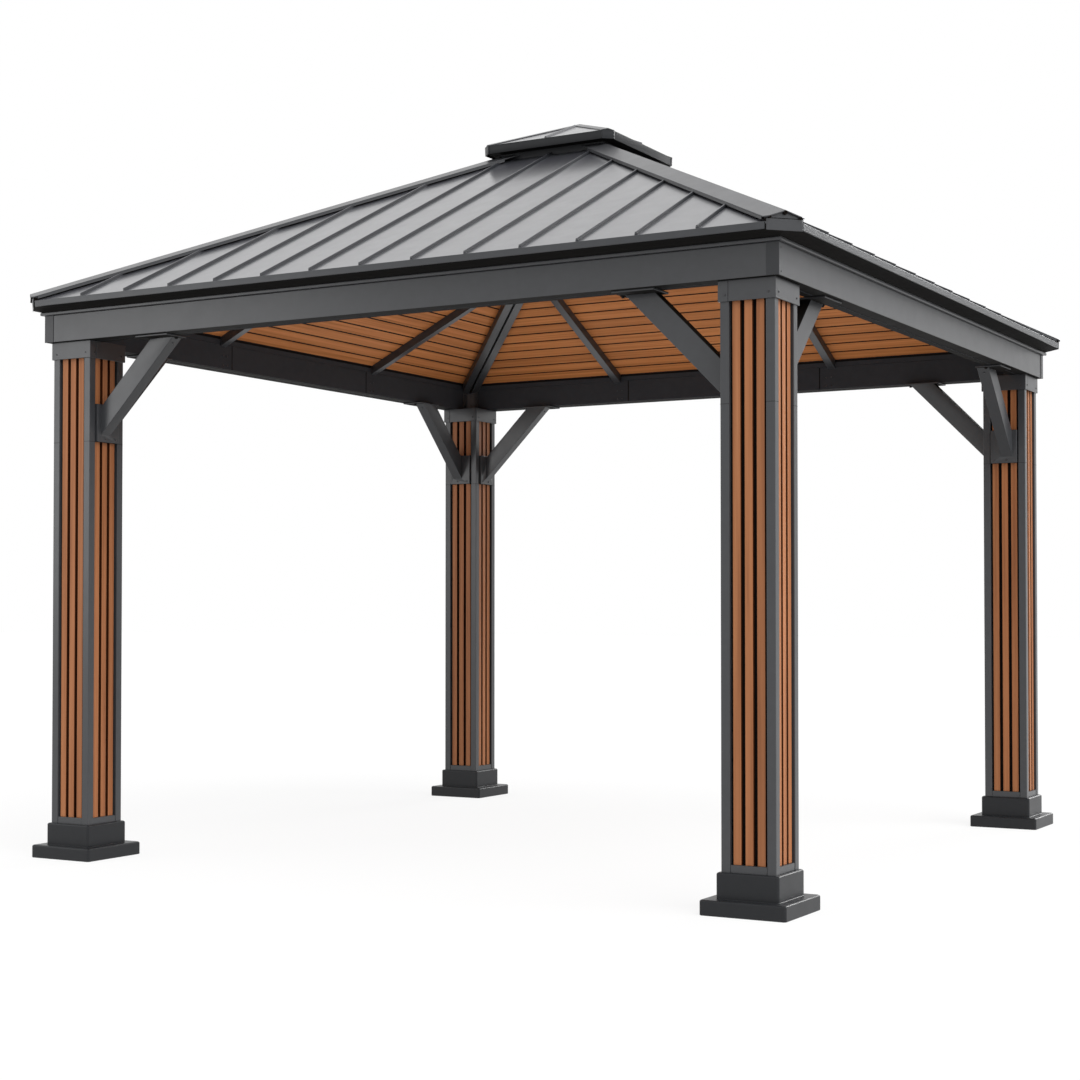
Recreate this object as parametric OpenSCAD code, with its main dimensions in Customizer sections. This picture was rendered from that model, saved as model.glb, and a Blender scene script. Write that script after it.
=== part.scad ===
// Square hard-roof gazebo: four slatted posts, ring beam, boarded hip ceiling,
// standing-seam hip roof and a small cupola roof on a curb.
// Units are millimetres, +Z is up and z = 0 is the floor under the plinths.
// The front side faces -Y. Every side is built as the front one and turned.

/* [Plan] */
// Distance between post centres, the same along X and Y
post_spacing = 3040; // [2600:10:3600]
// Reach of the eave trim beyond the post centres
eave_reach = 206; // [180:1:240]
// Leg of the 45 degree cut at each eave corner
eave_clip = 92; // [60:1:120]

/* [Posts] */
// Outside width of a post
post_w = 200; // [180:2:220]
// Width of the corner profile that shows on each face
corner_w = 33; // [28:1:38]
// Depth from the post face back to the inner tube
core_recess = 22; // [18:1:26]
// Depth from the post face back to the slats
slat_recess = 9; // [6:1:12]
// Width of one slat
slat_w = 30; // [26:1:32]
// Distance from one slat to the next
slat_pitch = 44; // [40:1:46]
// Height of the bottom rail that shows above the plinth
rail_h = 26; // [16:1:40]
// Height of the collar under the beams
collar_h = 72; // [50:1:90]
// How far the collar stands proud of the post
collar_proud = 6; // [3:1:10]

/* [Plinths] */
// Width of the lower step
plinth_w = 314; // [280:2:340]
// Height of the lower step
plinth_h = 53; // [40:1:70]
// Width of the upper step
riser_w = 228; // [216:2:250]
// Top of the upper step above the floor
riser_top = 142; // [120:1:170]

/* [Beams and braces] */
// Clear height under the beams
beam_bottom = 2140; // [2000:5:2300]
// Height of a beam
beam_h = 112; // [90:1:140]
// Thickness of a beam
beam_t = 100; // [80:1:120]
// How far a beam stands out beyond the post face
beam_proud = 25; // [15:1:35]
// Length of a corner cover along the front or back face
cover_leg = 45; // [30:1:60]
// Length of a back corner cover along the side face
cover_side_leg = 34; // [10:1:60]
// Distance from the post face to the far edge of a brace at the beam
brace_reach = 398; // [320:1:460]
// Thickness of a brace seen from the side
brace_d = 84; // [60:1:100]
// Width of a brace seen from below
brace_w = 54; // [44:1:70]
// Shift of the braces towards the outside of the post
brace_shift = 15; // [0:1:20]

/* [Roof] */
// Pitch of the main roof in degrees
roof_pitch = 26.2; // [20:0.1:32]
// Height of the eave trim
trim_h = 25; // [18:1:35]
// Distance from one standing seam to the next
seam_pitch = 230; // [200:5:260]
// Height of a standing seam above the sheet
seam_h = 11; // [8:1:24]
// Flange of a hip cap, measured square to the hip in plan
hip_cap_w = 75; // [60:1:90]
// Height of a hip cap above the roof sheet
hip_cap_gap = 15; // [12:1:26]

/* [Ceiling and rafters] */
// Height of the ceiling above the beam tops where it meets them
ceiling_lift = 32; // [20:1:50]
// Distance of the common rafters from the middle of each side
rafter_offset = 608; // [500:1:700]
// Width of a common rafter
rafter_w = 40; // [30:1:50]
// Depth of a rafter below the ceiling
rafter_drop = 42; // [30:1:50]
// Width of a hip rafter
hip_rafter_w = 90; // [70:1:100]
// Depth of a hip rafter below the ceiling
hip_rafter_drop = 55; // [45:1:65]

/* [Cupola] */
// Half the width of the curb that carries the cupola
curb_half = 260; // [220:1:300]
// Half the width of the cupola roof over its trim
cupola_half = 322; // [290:1:360]
// Height of the cupola trim
cupola_trim_h = 36; // [24:1:44]
// Gap from the main roof surface at the curb to the cupola trim
cupola_gap = 24; // [16:1:40]
// Pitch of the cupola roof in degrees
cupola_pitch = 22; // [18:0.5:26]

/* [Hidden] */

metal = "#48494b";
metal_light = "#6e6f72";
wood = "#9c6540";
sheet_t = 4;
tube_wall = 3;
post_at = post_spacing / 2;
post_half = post_w / 2;
core_half = post_half - core_recess;
corner_hollow = corner_w - 16;
foot_t = 8;
rail_set_back = 2;
slat_bottom = riser_top + rail_h;
slat_top = beam_bottom - collar_h + 30;
cover_t = 2;

// Heights and outward distances of the ring beam and the eave
beam_out = post_at + post_half + beam_proud;
beam_in = beam_out - beam_t;
beam_top = beam_bottom + beam_h;
eave_at = post_at + eave_reach;
lip_h = 12;
lip_proud = 16;
lip_out = beam_out + lip_proud;
cove_foot_z = beam_top + lip_h + 2;
cove_in = lip_out - 4;
cove_back = 47;
trim_bottom = beam_top + 28;
trim_top = trim_bottom + trim_h;
cove_out = eave_at - 8;
cove_steps = 8;
eave_skin = 5;
cap_proud = 8;
cap_flare = 6;
cap_drop = 4;

// Main roof: top of the sheet at an outward distance, and its underside
panel_t = 8;
panel_out = eave_at - sheet_t;
slope = tan(roof_pitch);
function roof_top(out) = trim_top + slope * (panel_out - out);
function roof_under(out) = roof_top(out) - panel_t;

hip_cap_lift = hip_cap_gap / cos(roof_pitch);
hip_flange = hip_cap_w * sqrt(2);
hip_cap_overhang = 12;

seam_foot_w = 14;
seam_root = 2;
seam_tip_w = 4;
seam_end_gap = 6;
seam_hip_gap = 30;
seam_shortest = 60;
seam_count = floor((panel_out - hip_flange - seam_shortest) / seam_pitch);

// Ceiling underside at an outward distance
ceiling_t = 11;
function ceiling_at(out) = beam_top + ceiling_lift + slope * (beam_in - out);
hip_gap = hip_rafter_w / 2 * sqrt(2);

// Crown frame at the head of the hip rafters, and the cupola on its curb
crown_half = curb_half + 40;
crown_in = curb_half - 10;
crown_bottom = ceiling_at(crown_half) - hip_rafter_drop - 6;
curb_wall = 6;
cupola_trim_bottom = roof_top(curb_half) + cupola_gap;
cupola_trim_top = cupola_trim_bottom + cupola_trim_h;
cupola_sheet_half = cupola_half - sheet_t;
cupola_slope = tan(cupola_pitch);
cupola_clip = 36;
cupola_cap_proud = 3;
cupola_hip_w = 30;
cupola_seam_h = 8;
function cupola_top(out) = cupola_trim_top + cupola_slope * (cupola_sheet_half - out);

// Brace plates
foot_plate_w = 126;
foot_plate_above = 8;
foot_plate_below = 30;
plate_proud = 10;
head_plate_t = 8;
head_plate_past = 24;
head_plate_in = 14;
head_plate_out = 105;
brace_cut = brace_d * sqrt(2);

all_high = 4000;

// Turns a front piece to side 0 front, 1 right, 2 back, 3 left
module side(turn) rotate([0, 0, 90 * turn]) children();

// Puts a post piece at corner 0 front right, 1 back right, 2 back left, 3 front left
module corner(turn) side(turn) translate([post_at, -post_at, 0]) children();

// Extrudes an outline of [-outward distance, height] points along a side
module along_side(points) {
    rotate([90, 0, 90])
        linear_extrude(height = 2 * eave_at, center = true)
            polygon(points);
}

// Extrudes an outline of [distance along the corner diagonal, height] points across it
module across_corner(points, width) {
    rotate([0, 0, -45])
        rotate([90, 0, 0])
            linear_extrude(height = width, center = true)
                polygon(points);
}

// Upright prism over the front quarter between two outward distances.
// gap is how far its ends stay from the corner diagonals along the side.
module quarter(near, far, gap = 0) {
    linear_extrude(height = all_high)
        polygon([
            [-(near - gap), -near], [near - gap, -near],
            [far - gap, -far], [-(far - gap), -far]
        ]);
}

// Outline of a square with its four corners cut at 45 degrees
function clipped_square(half, clip) = [
    [half, -half + clip], [half, half - clip], [half - clip, half], [-half + clip, half],
    [-half, half - clip], [-half, -half + clip], [-half + clip, -half], [half - clip, -half]
];

module square_ring(outer, inner, bottom, top) {
    translate([0, 0, bottom])
        linear_extrude(height = top - bottom)
            difference() {
                square(2 * outer, center = true);
                square(2 * inner, center = true);
            }
}

module square_block(half, bottom, top) {
    translate([-half, -half, bottom])
        cube([2 * half, 2 * half, top - bottom]);
}

// Flared plate that closes a 45 degree corner cut of a trim.
// root is how far it reaches back into the trim behind the cut.
module corner_cap(half, clip, bottom, top, proud, flare, root = 0) {
    face = (2 * half - clip) / sqrt(2);
    intersection() {
        across_corner([
            [face - root, bottom], [face + proud - flare, bottom],
            [face + proud, top], [face - root, top]
        ], 2 * clip);
        square_block(half + 2, bottom, top);
    }
}

// ---- Posts ----

module plinth() {
    color(metal)
        difference() {
            union() {
                square_block(plinth_w / 2, 0, plinth_h);
                square_block(riser_w / 2, 0, riser_top);
            }
            square_block(plinth_w / 2 - sheet_t, -1, plinth_h - sheet_t);
            square_block(riser_w / 2 - sheet_t, -1, riser_top - sheet_t);
            square_block(post_half, -1, riser_top + 1);
        }
}

module post_section() {
    corner_mid = post_half - corner_w / 2;
    hollow_mid = post_half - tube_wall - corner_hollow / 2;
    difference() {
        union() {
            square(2 * core_half, center = true);
            for (sx = [-1, 1], sy = [-1, 1])
                translate([sx * corner_mid, sy * corner_mid])
                    square(corner_w, center = true);
        }
        square(2 * (core_half - tube_wall), center = true);
        for (sx = [-1, 1], sy = [-1, 1])
            translate([sx * hollow_mid, sy * hollow_mid])
                square(corner_hollow, center = true);
    }
}

// The rails between the corner profiles on all four faces
module post_rail(bottom, top) {
    rail_half = post_half - corner_w;
    rail_t = core_recess - rail_set_back;
    for (turn = [0 : 3])
        rotate([0, 0, 90 * turn])
            translate([-rail_half, -core_half - rail_t, bottom])
                cube([2 * rail_half, rail_t, top - bottom]);
}

module post() {
    color(metal)
        union() {
            square_block(post_half, 0, foot_t);
            translate([0, 0, foot_t])
                linear_extrude(height = beam_bottom - foot_t)
                    post_section();
            post_rail(riser_top - rail_h, slat_bottom);
            post_rail(slat_top, beam_bottom);
        }
}

module slats() {
    color(wood)
        for (turn = [0 : 3], place = [-1 : 1])
            rotate([0, 0, 90 * turn])
                translate([place * slat_pitch - slat_w / 2, -post_half + slat_recess, slat_bottom])
                    cube([slat_w, core_recess - slat_recess, slat_top - slat_bottom]);
}

module collar() {
    color(metal)
        square_ring(post_half + collar_proud, post_half, beam_bottom - collar_h, beam_bottom);
}

// One brace on the post's -X face, running up to the front beam
module brace() {
    face = -post_half;
    plate_x = face - plate_proud;
    low = beam_bottom - brace_reach;
    foot_z = low + plate_proud;
    head_z = beam_bottom - head_plate_t;
    head_x = face - (head_z - low);
    union() {
        translate([0, brace_w / 2 - brace_shift, 0])
            rotate([90, 0, 0])
                linear_extrude(height = brace_w)
                    polygon([
                        [plate_x, foot_z], [plate_x, foot_z + brace_cut],
                        [head_x + brace_cut, head_z], [head_x, head_z]
                    ]);
        translate([plate_x, -foot_plate_w / 2, foot_z - foot_plate_below])
            cube([
                plate_proud + slat_recess, foot_plate_w,
                brace_cut + foot_plate_below + foot_plate_above
            ]);
        translate([head_x - head_plate_past, -head_plate_out, head_z])
            cube([
                brace_cut + 2 * head_plate_past, head_plate_out + head_plate_in, head_plate_t
            ]);
    }
}

module braces() {
    color(metal) {
        brace();
        mirror([1, 1, 0]) brace();
    }
}

// ---- Ring beam ----

module beam() {
    color(metal)
        intersection() {
            difference() {
                along_side([
                    [-beam_out, beam_bottom], [-beam_in, beam_bottom],
                    [-beam_in, beam_top], [-beam_out, beam_top]
                ]);
                along_side([
                    [-beam_out + tube_wall, beam_bottom + tube_wall],
                    [-beam_in - tube_wall, beam_bottom + tube_wall],
                    [-beam_in - tube_wall, beam_top - tube_wall],
                    [-beam_out + tube_wall, beam_top - tube_wall]
                ]);
            }
            quarter(beam_in, beam_out);
        }
}

// Angle over the beam joint at the front right corner
module corner_cover(side_leg) {
    color(metal)
        translate([0, 0, beam_bottom])
            linear_extrude(height = beam_h)
                polygon([
                    [beam_out - cover_leg, -beam_out],
                    [beam_out - cover_leg, -beam_out - cover_t],
                    [beam_out + cover_t, -beam_out - cover_t],
                    [beam_out + cover_t, -beam_out + side_leg],
                    [beam_out, -beam_out + side_leg],
                    [beam_out, -beam_out]
                ]);
}

module beam_corner_covers() {
    for (flip = [0, 1])
        mirror([flip, 0, 0]) {
            corner_cover(cover_t);
            mirror([0, 1, 0]) corner_cover(cover_side_leg);
        }
}

// ---- Eave ----

function cove_point(step) = let (turn = 90 * step / cove_steps) [
    -(cove_out - (cove_out - cove_in) * cos(turn)),
    cove_foot_z + (trim_bottom - cove_foot_z) * sin(turn)
];

// Hollow eave box: lip, cove and upright trim outside, a wall over the beam inside
module eave() {
    cove = [for (step = [0 : cove_steps]) cove_point(step)];
    hollow_in = beam_in + eave_skin;
    hollow_out = eave_at - eave_skin;
    hollow_foot = beam_top + eave_skin;
    hollow_step = cove_in - eave_skin;
    color(metal)
        intersection() {
            difference() {
                along_side(concat(
                    [
                        [-beam_in, beam_top], [-lip_out, beam_top],
                        [-lip_out, beam_top + lip_h], [-cove_in, beam_top + lip_h]
                    ],
                    cove,
                    [
                        [-eave_at, trim_bottom], [-eave_at, trim_top], [-panel_out, trim_top],
                        [-panel_out, roof_under(panel_out)], [-beam_in, roof_under(beam_in)]
                    ]
                ));
                along_side([
                    [-hollow_in, hollow_foot],
                    [-hollow_step, hollow_foot],
                    [-hollow_step, cove_foot_z + eave_skin],
                    [-(hollow_step + cove_back), trim_bottom + eave_skin],
                    [-hollow_out, trim_bottom + eave_skin],
                    [-hollow_out, roof_under(hollow_out) - eave_skin],
                    [-hollow_in, roof_under(hollow_in) - eave_skin]
                ]);
            }
            quarter(beam_in, eave_at);
            linear_extrude(height = all_high)
                polygon(clipped_square(eave_at, eave_clip));
        }
}

// Everything under the front roof plane raised to the underside of the hip caps
module below_hip_caps() {
    along_side([
        [-eave_at, 0], [-curb_half, 0],
        [-curb_half, roof_top(curb_half) + hip_cap_lift],
        [-eave_at, roof_top(eave_at) + hip_cap_lift]
    ]);
}

// Closes the corner from under the trim up to the underside of the hip cap
module eave_corner_cap() {
    ridge = roof_top(eave_at - eave_clip / 2) + hip_cap_lift;
    color(metal)
        intersection() {
            corner_cap(eave_at, eave_clip, trim_bottom - cap_drop, ridge, cap_proud, cap_flare);
            below_hip_caps();
            mirror([1, 1, 0]) below_hip_caps();
        }
}

// ---- Main roof ----

// Sloping layer between two outward distances, measured up from the sheet's top
module roof_layer(near, far, low, high) {
    along_side([
        [-far, roof_top(far) + low], [-near, roof_top(near) + low],
        [-near, roof_top(near) + high], [-far, roof_top(far) + high]
    ]);
}

module seam(place) {
    foot = panel_out - seam_end_gap;
    translate([place, -foot, roof_top(foot)])
        rotate([roof_pitch - 90, 0, 0])
            linear_extrude(height = foot / cos(roof_pitch))
                polygon([
                    [-seam_foot_w / 2, seam_root], [seam_foot_w / 2, seam_root],
                    [seam_tip_w / 2, -seam_h], [-seam_tip_w / 2, -seam_h]
                ]);
}

module roof_panel() {
    color(metal_light)
        union() {
            intersection() {
                roof_layer(curb_half, panel_out, -panel_t, 0);
                quarter(curb_half, panel_out);
                linear_extrude(height = all_high)
                    polygon(clipped_square(eave_at, eave_clip));
            }
            intersection() {
                for (count = [-seam_count : seam_count])
                    seam(count * seam_pitch);
                quarter(curb_half, panel_out, seam_hip_gap);
            }
        }
}

// Front half of the hip cap at the front right corner
module hip_cap_flange() {
    end_sum = 2 * eave_at - eave_clip + hip_cap_overhang * sqrt(2);
    intersection() {
        roof_layer(curb_half, panel_out + hip_flange, hip_cap_lift, hip_cap_lift + sheet_t);
        linear_extrude(height = all_high)
            polygon([
                [curb_half, -curb_half], [curb_half - hip_flange, -curb_half],
                [(end_sum - hip_flange) / 2, -(end_sum + hip_flange) / 2],
                [end_sum / 2, -end_sum / 2]
            ]);
        square_block(eave_at + 4, 0, all_high);
    }
}

module hip_cap() {
    color(metal)
        union() {
            hip_cap_flange();
            mirror([1, 1, 0]) hip_cap_flange();
        }
}

// ---- Ceiling and rafters ----

// Upright prism over both common rafters of the front side
module rafter_strips() {
    for (sx = [-1, 1])
        translate([sx * rafter_offset - rafter_w / 2, -beam_in, 0])
            cube([rafter_w, beam_in, all_high]);
}

module ceiling() {
    color(wood)
        difference() {
            intersection() {
                along_side([
                    [-beam_in, ceiling_at(beam_in)],
                    [-crown_half, ceiling_at(crown_half)],
                    [-crown_half, ceiling_at(crown_half) + ceiling_t],
                    [-beam_in, ceiling_at(beam_in) + ceiling_t]
                ]);
                quarter(crown_half, beam_in, hip_gap);
            }
            rafter_strips();
        }
}

module side_rafters() {
    color(metal)
        intersection() {
            along_side([
                [-beam_in, ceiling_at(beam_in) - rafter_drop],
                [-rafter_offset, ceiling_at(rafter_offset) - rafter_drop],
                [-rafter_offset, roof_under(rafter_offset)],
                [-beam_in, roof_under(beam_in)]
            ]);
            quarter(rafter_offset, beam_in, hip_gap);
            rafter_strips();
        }
}

module hip_rafter() {
    near = crown_half * sqrt(2) - hip_rafter_w;
    far = beam_in * sqrt(2);
    color(metal)
        difference() {
            intersection() {
                across_corner([
                    [far, ceiling_at(beam_in) - hip_rafter_drop],
                    [near, ceiling_at(near / sqrt(2)) - hip_rafter_drop],
                    [near, roof_under(near / sqrt(2) + hip_gap / 2)],
                    [far, roof_under(beam_in + hip_gap / 2)]
                ], hip_rafter_w);
                square_block(beam_in, 0, all_high);
            }
            square_block(crown_half, 0, all_high);
        }
}

module crown_frame() {
    color(metal)
        square_ring(crown_half, crown_in, crown_bottom, roof_under(crown_half));
}

// ---- Cupola ----

module cupola_curb() {
    color(metal)
        square_ring(
            curb_half, curb_half - curb_wall,
            roof_under(crown_half), cupola_top(curb_half) - panel_t
        );
}

module cupola_outline(inset, bottom, top) {
    translate([0, 0, bottom])
        linear_extrude(height = top - bottom)
            polygon(clipped_square(
                cupola_half - inset, cupola_clip - (2 - sqrt(2)) * inset
            ));
}

module cupola_soffit() {
    bottom = cupola_trim_bottom + sheet_t;
    color(metal)
        difference() {
            cupola_outline(sheet_t, bottom, bottom + sheet_t);
            square_block(curb_half, 0, all_high);
        }
}

module cupola_trim() {
    color(metal)
        union() {
            difference() {
                cupola_outline(0, cupola_trim_bottom, cupola_trim_top);
                cupola_outline(sheet_t, cupola_trim_bottom - 1, cupola_trim_top + 1);
            }
            for (turn = [0 : 3])
                side(turn)
                    corner_cap(
                        cupola_half, cupola_clip, cupola_trim_bottom,
                        cupola_trim_top + 2, cupola_cap_proud, cupola_cap_proud - 1,
                        sheet_t / 2
                    );
        }
}

// Four-sided pyramid whose faces follow the cupola roof, lowered by drop
module cupola_pyramid(drop) {
    outline = [
        [-cupola_half, cupola_trim_bottom], [cupola_half, cupola_trim_bottom],
        [cupola_half, cupola_top(cupola_half) - drop], [0, cupola_top(0) - drop],
        [-cupola_half, cupola_top(cupola_half) - drop]
    ];
    intersection() {
        along_side(outline);
        rotate([0, 0, 90]) along_side(outline);
    }
}

module cupola_seam() {
    foot = cupola_sheet_half - seam_end_gap;
    translate([0, -foot, cupola_top(foot)])
        rotate([cupola_pitch - 90, 0, 0])
            linear_extrude(height = (foot - cupola_hip_w * sqrt(2)) / cos(cupola_pitch))
                polygon([
                    [-cupola_seam_h, seam_root], [cupola_seam_h, seam_root],
                    [seam_tip_w / 2, -cupola_seam_h], [-seam_tip_w / 2, -cupola_seam_h]
                ]);
}

module cupola_roof() {
    color(metal_light)
        union() {
            intersection() {
                difference() {
                    cupola_pyramid(0);
                    cupola_pyramid(panel_t);
                }
                cupola_outline(sheet_t, 0, all_high);
            }
            for (turn = [0 : 3])
                side(turn) cupola_seam();
        }
}

module cupola_hip_flange() {
    flange = cupola_hip_w * sqrt(2);
    end_sum = 2 * cupola_half - cupola_clip;
    intersection() {
        along_side([
            [-cupola_half, cupola_top(cupola_half)], [0, cupola_top(0)],
            [0, cupola_top(0) + sheet_t], [-cupola_half, cupola_top(cupola_half) + sheet_t]
        ]);
        linear_extrude(height = all_high)
            polygon([
                [0, 0], [0, -flange],
                [(end_sum - flange) / 2, -(end_sum + flange) / 2],
                [end_sum / 2, -end_sum / 2]
            ]);
        cupola_outline(0, 0, all_high);
    }
}

module cupola_hip_caps() {
    color(metal)
        union()
            for (turn = [0 : 3])
                side(turn) {
                    cupola_hip_flange();
                    mirror([1, 1, 0]) cupola_hip_flange();
                }
}

// ---- Assembly ----

corner(0) plinth();  // front_right_plinth
corner(1) plinth();  // back_right_plinth
corner(2) plinth();  // back_left_plinth
corner(3) plinth();  // front_left_plinth
corner(0) post();  // front_right_post
corner(1) post();  // back_right_post
corner(2) post();  // back_left_post
corner(3) post();  // front_left_post
corner(0) slats();  // front_right_slats
corner(1) slats();  // back_right_slats
corner(2) slats();  // back_left_slats
corner(3) slats();  // front_left_slats
for (turn = [0 : 3]) corner(turn) collar();  // post_collars
corner(0) braces();  // front_right_braces
corner(1) braces();  // back_right_braces
corner(2) braces();  // back_left_braces
corner(3) braces();  // front_left_braces
side(0) beam();  // front_beam
side(1) beam();  // right_beam
side(2) beam();  // back_beam
side(3) beam();  // left_beam
beam_corner_covers();
side(0) eave();  // front_eave
side(1) eave();  // right_eave
side(2) eave();  // back_eave
side(3) eave();  // left_eave
for (turn = [0 : 3]) side(turn) eave_corner_cap();  // eave_corner_caps
side(0) roof_panel();  // front_roof_panel
side(1) roof_panel();  // right_roof_panel
side(2) roof_panel();  // back_roof_panel
side(3) roof_panel();  // left_roof_panel
for (turn = [0 : 3]) side(turn) hip_cap();  // hip_caps
side(0) ceiling();  // front_ceiling
side(1) ceiling();  // right_ceiling
side(2) ceiling();  // back_ceiling
side(3) ceiling();  // left_ceiling
for (turn = [0 : 3]) side(turn) side_rafters();  // rafters
for (turn = [0 : 3]) side(turn) hip_rafter();  // hip_rafters
crown_frame();
cupola_curb();
cupola_soffit();
cupola_trim();
cupola_roof();
cupola_hip_caps();
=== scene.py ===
import math

import bmesh
import bpy
from mathutils import Matrix, Vector


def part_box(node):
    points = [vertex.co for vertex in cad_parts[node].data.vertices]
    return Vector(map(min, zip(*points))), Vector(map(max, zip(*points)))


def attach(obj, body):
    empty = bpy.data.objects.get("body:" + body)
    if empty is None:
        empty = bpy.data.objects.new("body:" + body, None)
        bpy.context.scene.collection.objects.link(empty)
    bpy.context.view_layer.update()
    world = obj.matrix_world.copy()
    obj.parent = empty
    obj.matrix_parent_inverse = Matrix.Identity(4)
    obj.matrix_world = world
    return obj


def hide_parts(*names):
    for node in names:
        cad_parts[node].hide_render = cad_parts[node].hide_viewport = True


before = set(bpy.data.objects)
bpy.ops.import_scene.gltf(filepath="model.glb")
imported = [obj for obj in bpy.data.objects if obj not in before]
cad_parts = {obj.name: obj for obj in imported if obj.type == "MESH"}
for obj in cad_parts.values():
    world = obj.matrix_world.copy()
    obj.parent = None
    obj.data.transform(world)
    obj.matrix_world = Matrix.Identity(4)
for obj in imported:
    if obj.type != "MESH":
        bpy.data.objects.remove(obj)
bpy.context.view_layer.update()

# Square hard-roof gazebo. Everything is in metres. The front side faces -Y, and sides and
# corners count turns from the front: 0 front, 1 right, 2 back, 3 left. Shapes are made for the
# front side, the front right corner or a post at the origin, and are then put in place.
SIDES = ["front", "right", "back", "left"]
CORNERS = ["front_right", "back_right", "back_left", "front_left"]

# ---- Sizes taken from the frame ----

plinth_low, plinth_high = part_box("front_right_plinth")
post_low, post_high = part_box("front_right_post")
slats_low, slats_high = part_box("front_right_slats")
collar_low, collar_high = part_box("post_collars")
beam_low, beam_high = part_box("front_beam")
braces_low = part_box("front_right_braces")[0]
panel_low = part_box("front_roof_panel")[0]
crown_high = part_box("crown_frame")[1]
curb_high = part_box("cupola_curb")[1]

POST_AT = (post_low.x + post_high.x) / 2
POST_HALF = (post_high.x - post_low.x) / 2
PLINTH_HALF = (plinth_high.x - plinth_low.x) / 2
PLINTH_TOP = plinth_high.z
SLAT_BOTTOM = slats_low.z
SLAT_TOP = slats_high.z
SLAT_FACE = (slats_high.x - slats_low.x) / 2
COLLAR_HALF = collar_high.x - POST_AT
COLLAR_BOTTOM = collar_low.z
FOOT_PLATE_LOW = braces_low.z
HEAD_PLATE_FAR = POST_AT - braces_low.x
BEAM_OUT = -beam_low.y
BEAM_IN = -beam_high.y
BEAM_BOTTOM = beam_low.z
BEAM_TOP = beam_high.z
PANEL_OUT = -panel_low.y
CROWN_HALF = crown_high.x
CURB_HALF = curb_high.x

# ---- Sizes that the frame's boxes don't give ----

ROOF_PITCH = math.radians(26.2)
SLOPE = math.tan(ROOF_PITCH)
SHEET_T = 0.004
PANEL_T = 0.008
EAVE_AT = PANEL_OUT + SHEET_T
EAVE_CLIP = 0.092
TRIM_BOTTOM = BEAM_TOP + 0.028
TRIM_TOP = TRIM_BOTTOM + 0.025
CEILING_LIFT = 0.032
RAFTER_AT = 0.608
RAFTER_HALF = 0.020
HIP_RAFTER_HALF = 0.045
HIP_RAFTER_DROP = 0.055
HIP_GAP = HIP_RAFTER_HALF * math.sqrt(2)
RISER_HALF = 0.114
STEP_TOP = 0.053
CORNER_W = 0.033
CORE_HALF = POST_HALF - 0.022
RAIL_SET_BACK = 0.002
SLAT_W = 0.030
SLAT_PITCH = 0.044
SPLICE_Z = 1.722
FOOT_T = 0.008
FOOT_PLATE_PROUD = 0.010
HEAD_PLATE_T = 0.008
HEAD_PLATE_PAST = 0.024
BRACE_SHIFT = 0.015

# Bars that a later cut shortens run this far each way, past every corner.
PAST_END = 2.0

# Radius and height of each kind of screw head, and of the brace bolts' heads.
COLLAR_SCREW = (0.0038, 0.0022)
SPLICE_SCREW = (0.0040, 0.0020)
BRACKET_SCREW = (0.0042, 0.0024)
COVER_SCREW = (0.0032, 0.0012)
BRACE_FOOT_SCREW = (0.0050, 0.0030)
BRACE_HEAD_SCREW = (0.0042, 0.0026)
BRACE_BOLT = (0.0065, 0.0080)


def roof_top(out):
    """Height of the roof sheet at an outward distance from the middle."""
    return TRIM_TOP + SLOPE * (PANEL_OUT - out)


def ceiling_at(out):
    """Height of the ceiling's underside at an outward distance."""
    return BEAM_TOP + CEILING_LIFT + SLOPE * (BEAM_IN - out)


# ---- Places and outlines ----

def turned(turn):
    return Matrix.Rotation(turn * math.pi / 2, 4, "Z")


def at_corner(turn):
    return turned(turn) @ Matrix.Translation((POST_AT, -POST_AT, 0))


# Leaves a shape at the front right corner as it is, or mirrors it about the corner's diagonal.
AS_IT_IS = Matrix.Identity(4)
MIRRORED = Matrix(((0, -1, 0, 0), (-1, 0, 0, 0), (0, 0, 1, 0), (0, 0, 0, 1)))


def quarter_turn(steps):
    """Angles from 0 to 90 degrees in equal steps."""
    return [step / steps * math.pi / 2 for step in range(steps + 1)]


def rectangle(near, far, low, high):
    """Outline between two outward distances and two heights."""
    return [(far, low), (near, low), (near, high), (far, high)]


def sloping_board(plane, near, far, low, high):
    """Outline between two outward distances, from low to high above a sloping plane."""
    return [(far, plane(far) + low), (near, plane(near) + low),
            (near, plane(near) + high), (far, plane(far) + high)]


# ---- Mesh helpers ----

def loft(rings, closed=False):
    """Solid through rings of points. A closed loft joins its last ring to its first."""
    bm = bmesh.new()
    loops = [[bm.verts.new(point) for point in ring] for ring in rings]
    pairs = list(zip(loops, loops[1:]))
    if closed:
        pairs.append((loops[-1], loops[0]))
    else:
        bm.faces.new(loops[0])
        bm.faces.new(loops[-1])
    for low, high in pairs:
        for i in range(len(low)):
            j = (i + 1) % len(low)
            bm.faces.new((low[i], low[j], high[j], high[i]))
    bmesh.ops.recalc_face_normals(bm, faces=bm.faces)
    return bm


def prism(outline, low, high):
    """Upright solid over an (x, y) outline."""
    return loft([[(x, y, z) for x, y in outline] for z in (low, high)])


def block(low, high):
    """Box between its lowest and highest corners."""
    outline = [(low[0], low[1]), (high[0], low[1]), (high[0], high[1]), (low[0], high[1])]
    return prism(outline, low[2], high[2])


def square_block(half, low, high):
    """Upright square block round the Z axis, between two heights."""
    return block((-half, -half, low), (half, half, high))


def side_bar(outline, start=-PAST_END, end=PAST_END):
    """Bar along the front side over an outline of (outward distance, height) points."""
    return loft([[(x, -out, z) for out, z in outline] for x in (start, end)])


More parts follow.
